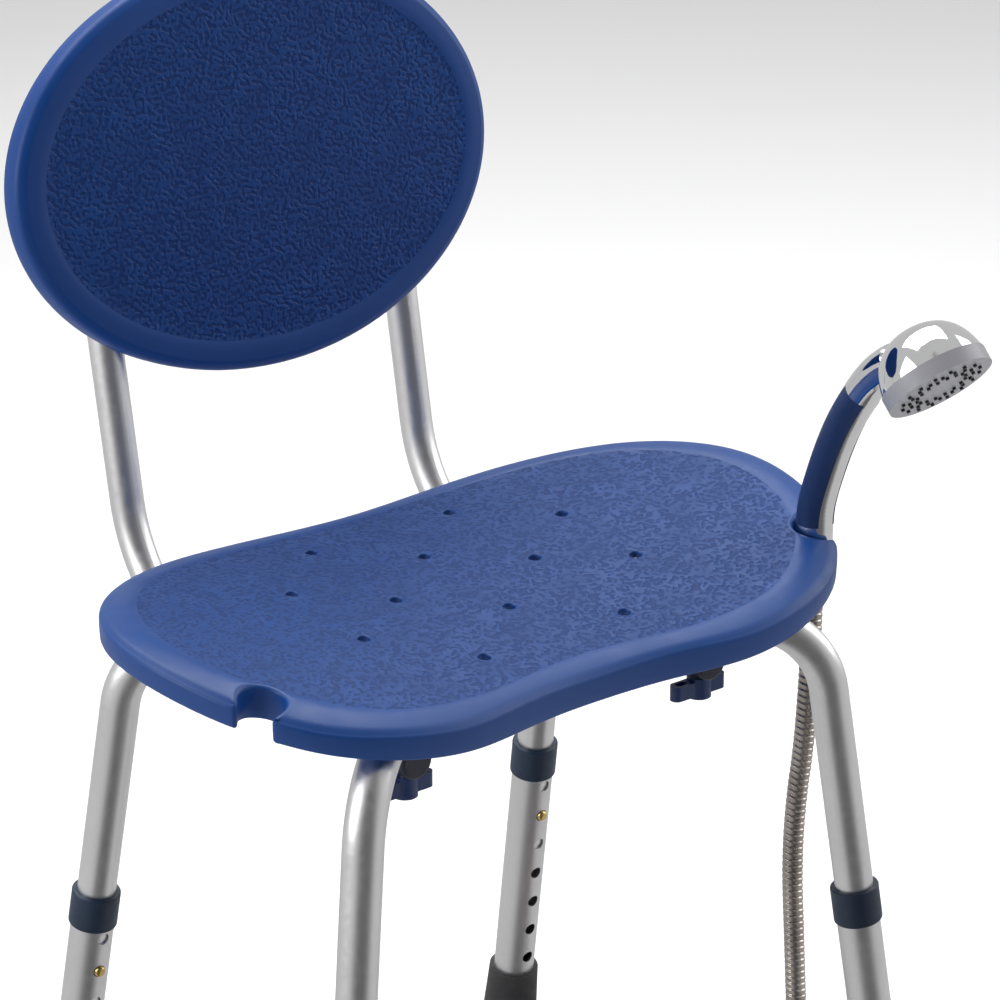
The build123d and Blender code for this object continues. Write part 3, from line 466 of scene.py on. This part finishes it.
class Shell:
    """A thin moulded shell: textured field, smooth band, round shoulder, rim and underside."""

    def __init__(self, outline, texture, rise, matrix, slope):
        self.outline, self.texture, self.rise, self.matrix = outline, texture, rise, matrix
        self.slope = slope
        self.verts, self.faces, self.slots = [], [], []

    def vertex(self, x, y, drop):
        self.verts.append(self.matrix @ Vector((x, y, self.rise(x, y) + drop)))
        return len(self.verts) - 1

    def falls(self, points):
        """How far the band has fallen away at each point."""
        return self.slope * distance_outside(points, self.texture) ** 2

    def add_skin(self, flat, triangles, textured):
        """The top and, one skin below it, the underside."""
        self.flat = flat
        self.where = {tuple(np.round(p, 6)): i for i, p in enumerate(flat)}
        lowered = inside(flat, inset(self.texture, 0.0008))
        falls = self.falls(flat)
        self.top = [self.vertex(x, y, -FIELD_STEP if down else -fall)
                    for (x, y), down, fall in zip(flat, lowered, falls)]
        self.under = [self.vertex(x, y, -SEAT_SKIN - fall) for (x, y), fall in zip(flat, falls)]
        for (a, b, c), worm in zip(triangles, textured):
            self.faces.append((self.top[a], self.top[b], self.top[c]))
            self.slots.append(1 if worm else 0)
            self.faces.append((self.under[c], self.under[b], self.under[a]))
            self.slots.append(0)

    def index_of(self, point):
        key = tuple(np.round(point, 6))
        if key in self.where:
            return self.where[key]
        return int(np.argmin(np.linalg.norm(self.flat - point, axis=1)))

    def add_wall(self, rings):
        """Join rows of vertices into a strip."""
        for upper, lower in zip(rings, rings[1:]):
            count = len(upper)
            for i in range(count):
                j = (i + 1) % count
                self.faces.append((upper[j], upper[i], lower[i], lower[j]))
                self.slots.append(0)

    def add_rim(self, edge, thick, shoulder):
        """The round shoulder, the wall down to the rim's foot and back up inside."""
        rings = [[self.top[self.index_of(p)] for p in edge]]
        rim_falls = self.falls(self.outline)
        for k in range(1, 6):
            a = k / 5 * pi / 2
            ring = inset(self.outline, shoulder * (1 - sin(a)))
            rings.append([self.vertex(x, y, shoulder * (cos(a) - 1) - fall)
                          for (x, y), fall in zip(ring, rim_falls)])
        steps = [(0.0, 0.65 * thick)] + [(push, thick + up) for push, up in FOOT]
        steps.append((0.0044, SEAT_SKIN + 0.008))
        for push, drop in steps:
            rings.append([self.vertex(x, y, -drop) for x, y in inset(self.outline, push)])
        rings.append([self.under[self.index_of(p)] for p in edge])
        self.add_wall(rings)

    def add_drain(self, ring, drain):
        """A drain hole's rounded edge and its bore."""
        x, y, radius = drain
        around = ring[::-1]
        rings = [[self.top[self.index_of(p)] for p in around]]
        for shrink, drop in DRAIN_EDGE:
            share = (radius - shrink) / radius
            rings.append([self.vertex(x + (px - x) * share, y + (py - y) * share,
                                      -drop - FIELD_STEP) for px, py in around])
        rings.append([self.under[self.index_of(p)] for p in around])
        self.add_wall(rings)


def moulded_shell(name, outline, texture, drains, rise, matrix, looks, thick, shoulder, slope):
    """One finished shell as a new object."""
    edge = inset(outline, shoulder)
    drain_loops = [circle_points(*drain) for drain in drains]
    shell = Shell(outline, texture, rise, matrix, slope)
    shell.add_skin(*filled_top(outline, edge, texture, drain_loops))
    shell.add_rim(edge, thick, shoulder)
    for ring, drain in zip(drain_loops, drains):
        shell.add_drain(ring, drain)
    return new_object(name, shell.verts, shell.faces, looks, shell.slots)


def build_seat():
    outline = cut_notches(closed_spline(both_halves(SEAT_OUTLINE), 0.0025))
    texture = closed_spline(both_halves(SEAT_TEXTURE), 0.0035)
    spots = [(x, y) for x in (-56, 56) for y in (-88, 0, 88)]
    spots += [(0, -43), (0, 43)] + [(x, y) for x in (-109, 109) for y in (-37, 37)]
    drains = [(x * MM, y * MM, 0.0050) for x, y in spots]
    matrix = Matrix.Translation((0, SEAT_Y, SEAT_Z))
    seat = moulded_shell("seat_shell", outline, texture, drains, torus_rise, matrix,
                         [MATERIALS["seat_band"], MATERIALS["seat_worm"]], SEAT_THICK, 0.0032,
                         BAND_SLOPE)
    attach(seat, "chair")
    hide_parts("seat_panel")


def ellipse_loop(half_width, half_height, spacing):
    turns = np.linspace(0, 2 * pi, 400, endpoint=False)
    loop = np.stack([half_width * np.cos(turns), half_height * np.sin(turns)], 1)
    return resample(loop, spacing)


PANEL_BAND = 0.0185


def build_back_panel():
    rise = PANEL_RISE
    middle = Vector((0, SEAT_Y + UPRIGHT_Y + BACK_LEAN * (rise - UPRIGHT_RISE), SEAT_Z + rise))
    forward = Vector((0, -cos(LEAN), sin(LEAN)))
    up = Vector((0, sin(LEAN), cos(LEAN)))
    turn = Matrix((Vector((1, 0, 0)), up, forward)).transposed().to_4x4()
    matrix = Matrix.Translation(middle + forward * (RAIL_RADIUS + PANEL_THICK)) @ turn
    outline = ellipse_loop(PANEL_HALF_WIDTH, PANEL_HALF_HEIGHT, 0.0025)
    texture = ellipse_loop(PANEL_HALF_WIDTH - PANEL_BAND, PANEL_HALF_HEIGHT - PANEL_BAND, 0.0035)
    panel = moulded_shell("back_panel_shell", outline, texture, [], flat_rise, matrix,
                          [MATERIALS["back_band"], MATERIALS["back_worm"]], PANEL_THICK, 0.0055,
                          BAND_SLOPE / 2)
    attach(panel, "chair")
    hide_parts("backrest_panel")


# ---- Hose ----
DOCK = Vector((NOTCH[0], SEAT_Y + NOTCH[1], SEAT_Z + torus_rise(*NOTCH)))
HANDLE_FOOT, NUT_DEEP = 0.024, 0.016
HOSE_TOP = DOCK.z - HANDLE_FOOT - NUT_DEEP
HOSE_RADIUS, COIL_RADIUS, COIL_TURNS = 0.007, 0.0735, 2
COIL_X, COIL_Y = DOCK.x - COIL_RADIUS, DOCK.y + 0.088
COIL_PITCH = 2 * HOSE_RADIUS + 0.0006
HOSE_ROUTE = [
    (DOCK.x, DOCK.y, HOSE_TOP), (DOCK.x, DOCK.y, HOSE_TOP - 0.090),
    (DOCK.x - 0.005, DOCK.y + 0.009, HOSE_TOP - 0.185),
    (DOCK.x - 0.003, DOCK.y + 0.004, HOSE_TOP - 0.275),
    (DOCK.x + 0.001, DOCK.y + 0.003, 0.078), (DOCK.x + 0.001, DOCK.y + 0.024, 0.022),
    (DOCK.x + 0.0005, DOCK.y + 0.066, HOSE_RADIUS + 0.0005),
]
TAIL_ROUTE = [
    (DOCK.x + 0.001, COIL_Y + 0.034, 0.0362), (DOCK.x + 0.006, COIL_Y + 0.086, 0.0122),
    (DOCK.x + 0.006, COIL_Y + 0.108, 0.0122),
]
TURN_POINTS = 16


def hose_points():
    """The hanging stretch, the coil's turns and the tail, as one route."""
    route = list(HOSE_ROUTE)
    reach = COIL_RADIUS / cos(pi / TURN_POINTS)
    for i in range(TURN_POINTS * COIL_TURNS + 1):
        a = 2 * pi * i / TURN_POINTS
        turn, share = divmod(i / TURN_POINTS, 1)
        step_up = min(max((share - 0.65) / 0.35, 0), 1)
        layer = turn + step_up * step_up * (3 - 2 * step_up)
        route.append((COIL_X + reach * cos(a), COIL_Y + reach * sin(a),
                      HOSE_RADIUS + 0.0003 + layer * COIL_PITCH))
    return route + TAIL_ROUTE


def spline_line(points, name):
    """The evaluated points of a smooth NURBS line with these control points."""
    data = bpy.data.curves.new(name, "CURVE")
    data.dimensions = "3D"
    data.resolution_u = 12
    spline = data.splines.new("NURBS")
    spline.points.add(len(points) - 1)
    for point, where in zip(spline.points, points):
        point.co = (*where, 1)
    spline.order_u = 3
    spline.use_endpoint_u = True
    holder = bpy.data.objects.new(name, data)
    scene.collection.objects.link(holder)
    bpy.context.view_layer.update()
    evaluated = holder.evaluated_get(bpy.context.evaluated_depsgraph_get())
    mesh = bpy.data.meshes.new_from_object(evaluated)
    line = [Vector(v.co) for v in mesh.vertices]
    bpy.data.objects.remove(holder)
    bpy.data.meshes.remove(mesh)
    return line


def walk(line, spacing):
    """Places and directions a fixed distance apart on a line."""
    p = np.array(line)
    lengths = np.r_[0, np.cumsum(np.linalg.norm(np.diff(p, axis=0), axis=1))]
    at = np.linspace(0, lengths[-1], int(round(lengths[-1] / spacing)) + 1)
    places = np.stack([np.interp(at, lengths, p[:, k]) for k in range(3)], 1)
    ways = np.gradient(places, axis=0)
    return at, places, ways / np.linalg.norm(ways, axis=1)[:, None]


RIB_PITCH = 0.0046
RIB_SHAPE = [(0.0, 0.0015), (0.08, 0.0012), (0.13, 0.0003), (0.25, 0.0), (0.75, 0.0001),
             (0.90, 0.0004), (0.95, 0.0012), (1.0, 0.0015)]


def build_hose():
    """An interlocked steel hose: its strip winds round the line as one long spiral."""
    line = spline_line(hose_points(), "hose_line")
    at, places, ways = walk(line, RIB_PITCH / 12)
    around = 22
    side = np.array([1.0, 0, 0])
    turns = np.linspace(0, 2 * pi, around, endpoint=False)
    shape_at, shape_cut = zip(*RIB_SHAPE)
    verts, faces = [], []
    for s, place, way in zip(at, places, ways):
        side = side - way * (side @ way)
        side /= np.linalg.norm(side)
        other = np.cross(way, side)
        cut = np.interp((s / RIB_PITCH + turns / (2 * pi)) % 1.0, shape_at, shape_cut)
        ring = place + (HOSE_RADIUS - cut)[:, None] * (
            np.cos(turns)[:, None] * side + np.sin(turns)[:, None] * other)
        verts += ring.tolist()
    for row in range(len(at) - 1):
        for i in range(around):
            j = (i + 1) % around
            faces.append((row * around + i, row * around + j,
                          (row + 1) * around + j, (row + 1) * around + i))
    faces.append(tuple(reversed(range(around))))
    faces.append(tuple(range(len(verts) - around, len(verts))))
    hose = new_object("shower_hose", verts, faces, [MATERIALS["hose"]])
    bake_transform(hose)
    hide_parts("hose_run", "hose_coil", "hose_tail")


# ---- Button springs ----
def build_springs():
    """Each button's leaf spring as a copy of its CAD mesh, which stands in for the hidden original.
    """
    for joint in frame["joints"]:
        if not joint["name"].startswith("button_press_"):
            continue
        leg = joint["name"].removeprefix("button_press_")
        node = "button_spring_" + leg
        mesh = frame["nodes"][node].data.copy()
        spring = bpy.data.objects.new("leaf_spring_" + leg, mesh)
        scene.collection.objects.link(spring)
        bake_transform(spring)
        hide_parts(node)


# ---- Studio ----
DARK_SIDE = (-0.37, -0.929, 0.0)


def add_floor():
    s = Shader("studio_floor")
    s.set(Base_Color=(0.90, 0.90, 0.90, 1))
    s.rough(s.remap(s.noise(3, 3), 0.3, 0.7, 0.55, 0.65))
    half = 14.0
    floor = new_object("studio_floor", [(-half, -half, 0), (half, -half, 0), (half, half, 0),
                                        (-half, half, 0)], [(0, 1, 2, 3)], [s.material],
                       smooth=False)
    floor.visible_glossy = False


def add_softbox(name, place, aim, wide, high, watts):
    data = bpy.data.lights.new(name, "AREA")
    data.shape = "RECTANGLE"
    data.size, data.size_y = wide, high
    data.energy = watts
    lamp = bpy.data.objects.new(name, data)
    lamp.location = place
    lamp.rotation_euler = (Vector(aim) - Vector(place)).to_track_quat("-Z", "Y").to_euler()
    scene.collection.objects.link(lamp)


def add_world():
    """A white studio with one dark side, whose reflection is the dark core of the tubes."""
    world = bpy.data.worlds.new("studio")
    scene.world = world
    world.use_nodes = True
    tree = world.node_tree
    place = tree.nodes.new("ShaderNodeTexCoord").outputs["Generated"]
    level = tree.nodes.new("ShaderNodeVectorMath")
    level.operation = "MULTIPLY"
    level.inputs[1].default_value = (1, 1, 0)
    tree.links.new(place, level.inputs[0])
    unit = tree.nodes.new("ShaderNodeVectorMath")
    unit.operation = "NORMALIZE"
    tree.links.new(level.outputs["Vector"], unit.inputs[0])
    dot = tree.nodes.new("ShaderNodeVectorMath")
    dot.operation = "DOT_PRODUCT"
    dot.inputs[1].default_value = DARK_SIDE
    tree.links.new(unit.outputs["Vector"], dot.inputs[0])
    shade = tree.nodes.new("ShaderNodeMapRange")
    shade.interpolation_type = "SMOOTHSTEP"
    for key, value in (("From Min", 0.55), ("From Max", 0.96), ("To Min", 0.60),
                       ("To Max", 0.14)):
        shade.inputs[key].default_value = value
    tree.links.new(dot.outputs["Value"], shade.inputs["Value"])
    apart = tree.nodes.new("ShaderNodeSeparateXYZ")
    tree.links.new(place, apart.inputs[0])
    overhead = tree.nodes.new("ShaderNodeMapRange")
    overhead.interpolation_type = "SMOOTHSTEP"
    for key, value in (("From Min", 0.90), ("From Max", 0.98), ("To Min", 0.0), ("To Max", 0.60)):
        overhead.inputs[key].default_value = value
    tree.links.new(apart.outputs["Z"], overhead.inputs["Value"])
    brighter = tree.nodes.new("ShaderNodeMath")
    brighter.operation = "MAXIMUM"
    tree.links.new(shade.outputs["Result"], brighter.inputs[0])
    tree.links.new(overhead.outputs["Result"], brighter.inputs[1])
    tree.links.new(brighter.outputs[0], tree.nodes["Background"].inputs["Strength"])
    tree.nodes["Background"].inputs["Color"].default_value = (1, 1, 1, 1)


def add_studio():
    add_world()
    add_floor()
    add_softbox("top_softbox", (0.3, 1.0, 2.6), (0, 0, 0.4), 2.6, 1.8, 62)
    add_softbox("left_softbox", (-2.4, 0.7, 1.5), (0, 0, 0.5), 1.8, 2.0, 34)
    add_softbox("right_softbox", (2.3, -0.6, 1.6), (0, 0, 0.5), 1.4, 2.0, 22)
    scene.view_settings.view_transform = "Standard"


add_camera()
build_hose()
dress_nodes()
build_seat()
build_back_panel()
build_springs()
add_studio()
